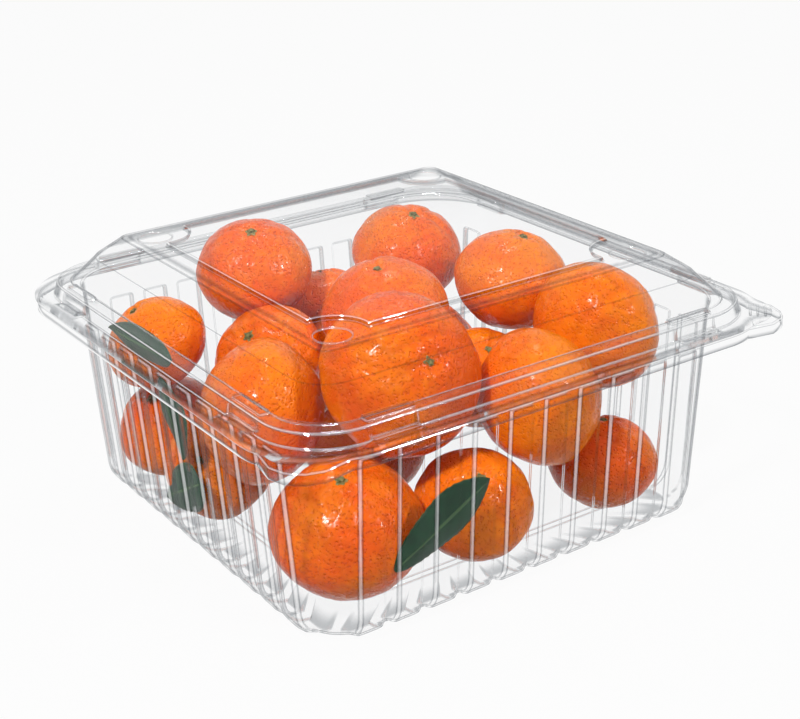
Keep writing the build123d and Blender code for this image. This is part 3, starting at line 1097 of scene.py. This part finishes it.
def seen_strength(net, dim, bright):
    """Bright where the camera, a mirror or clear sheet looks, and dim for light on the object."""
    camera = net.node("ShaderNodeLightPath", {}, {}, "Is Camera Ray")
    seen = camera.maths("MAXIMUM", camera.beside("Is Glossy Ray"))
    seen = seen.maths("MAXIMUM", camera.beside("Is Transmission Ray"))
    return net.node("ShaderNodeMapRange", {}, {"Value": seen, "To Min": dim, "To Max": bright})


def add_lamp(name, size, place, power, aim):
    """A square soft box that points at a place."""
    light = bpy.data.lights.new(name, "AREA")
    light.size = size
    light.energy = power
    lamp = bpy.data.objects.new(name, light)
    lamp.location = place
    lamp.rotation_mode = "QUATERNION"
    lamp.rotation_quaternion = (aim - Vector(place)).to_track_quat("-Z", "Y")
    bpy.context.scene.collection.objects.link(lamp)


class PACK_OT_stage(bpy.types.Operator):
    """Lays the floor, hangs the lamps and sets up the camera"""

    bl_idname = "fruit_pack.stage"
    bl_label = "Stage"

    def execute(self, context):
        settings = context.scene.pack_stage
        scene = context.scene
        aim = Vector(settings.aim)
        self.add_floor(scene)
        self.add_sky(scene, settings)
        for lamp in LAMPS:
            add_lamp(*lamp, aim)
        self.add_camera(scene, settings, aim)
        scene.view_settings.view_transform = "Standard"
        scene.cycles.transparent_max_bounces = 48
        scene.cycles.max_bounces = 16
        return {"FINISHED"}

    def add_floor(self, scene):
        """A white floor that keeps the pack's shadow."""
        shape = bmesh.new()
        bmesh.ops.create_grid(shape, x_segments=1, y_segments=1, size=FLOOR_HALF)
        mesh = new_mesh("floor", shape)
        floor = bpy.data.objects.new("floor", mesh)
        floor.location.z = -0.05 * MM
        net = new_net("pale_floor")
        grey = net.node("ShaderNodeBsdfDiffuse", {}, {"Color": rgba(FLOOR_GREY)})
        glow = net.node("ShaderNodeEmission", {}, {"Color": rgba(WHITE), "Strength": 1.0})
        share = seen_strength(net, 0.0, FLOOR_GLOW)
        mesh.materials.append(net.finish(net.mixed(share, grey, glow)))
        scene.collection.objects.link(floor)

    def add_sky(self, scene, settings):
        """Even light from all round, which looks white."""
        net = Net(bpy.data.worlds.new("sky"), "ShaderNodeOutputWorld")
        strength = seen_strength(net, settings.sky, 1.0)
        back = net.node("ShaderNodeBackground", {}, {"Color": rgba(WHITE), "Strength": strength})
        scene.world = net.finish(back)

    def add_camera(self, scene, settings, aim):
        """The photograph's camera."""
        data = bpy.data.cameras.new("camera")
        data.sensor_width = SENSOR_WIDTH_MM
        data.lens = SENSOR_WIDTH_MM * FOCAL_LENGTH_PX / IMAGE_WIDTH_PX
        camera = bpy.data.objects.new("camera", data)
        scene.collection.objects.link(camera)
        level = math.cos(settings.elevation)
        back = Vector((
            math.sin(settings.azimuth) * level,
            -math.cos(settings.azimuth) * level,
            math.sin(settings.elevation),
        ))
        right = Vector((0, 0, 1)).cross(back).normalized()
        up = back.cross(right)
        turn = Matrix((right, up, back)).transposed() @ Matrix.Rotation(settings.roll, 3, "Z")
        camera.matrix_world = Matrix.Translation(aim + back * settings.distance) @ turn.to_4x4()
        scene.camera = camera


class PACK_PT_pack(bpy.types.Panel):
    """Sizes and colours of the fruit pack"""

    bl_idname = "PACK_PT_pack"
    bl_label = "Fruit Pack"
    bl_space_type = "VIEW_3D"
    bl_region_type = "UI"
    bl_category = "Fruit Pack"

    def draw(self, context):
        scene = context.scene
        groups = (
            (PACK_OT_mandarins, scene.pack_peel),
            (PACK_OT_leaves, scene.pack_leaf),
            (PACK_OT_tray, scene.pack_sheet),
            (PACK_OT_lid, scene.pack_sheet),
            (PACK_OT_stage, scene.pack_stage),
        )
        for operator, settings in groups:
            box = self.layout.box()
            box.operator(operator.bl_idname)
            for name in settings.__annotations__:
                box.prop(settings, name)


SETTINGS = {
    "pack_peel": PeelSettings,
    "pack_leaf": LeafSettings,
    "pack_sheet": SheetSettings,
    "pack_stage": StageSettings,
}
OPERATORS = (PACK_OT_mandarins, PACK_OT_leaves, PACK_OT_tray, PACK_OT_lid, PACK_OT_stage)


def register():
    for group in SETTINGS.values():
        bpy.utils.register_class(group)
    for name, group in SETTINGS.items():
        setattr(bpy.types.Scene, name, bpy.props.PointerProperty(type=group))
    for operator in OPERATORS:
        bpy.utils.register_class(operator)
    bpy.utils.register_class(PACK_PT_pack)


def unregister():
    bpy.utils.unregister_class(PACK_PT_pack)
    for operator in reversed(OPERATORS):
        bpy.utils.unregister_class(operator)
    for name in SETTINGS:
        delattr(bpy.types.Scene, name)
    for group in reversed(list(SETTINGS.values())):
        bpy.utils.unregister_class(group)


def main():
    register()
    bpy.ops.fruit_pack.mandarins()
    bpy.ops.fruit_pack.leaves()
    bpy.ops.fruit_pack.tray()
    bpy.ops.fruit_pack.lid()
    bpy.ops.fruit_pack.stage()


if __name__ == "__main__":
    main()
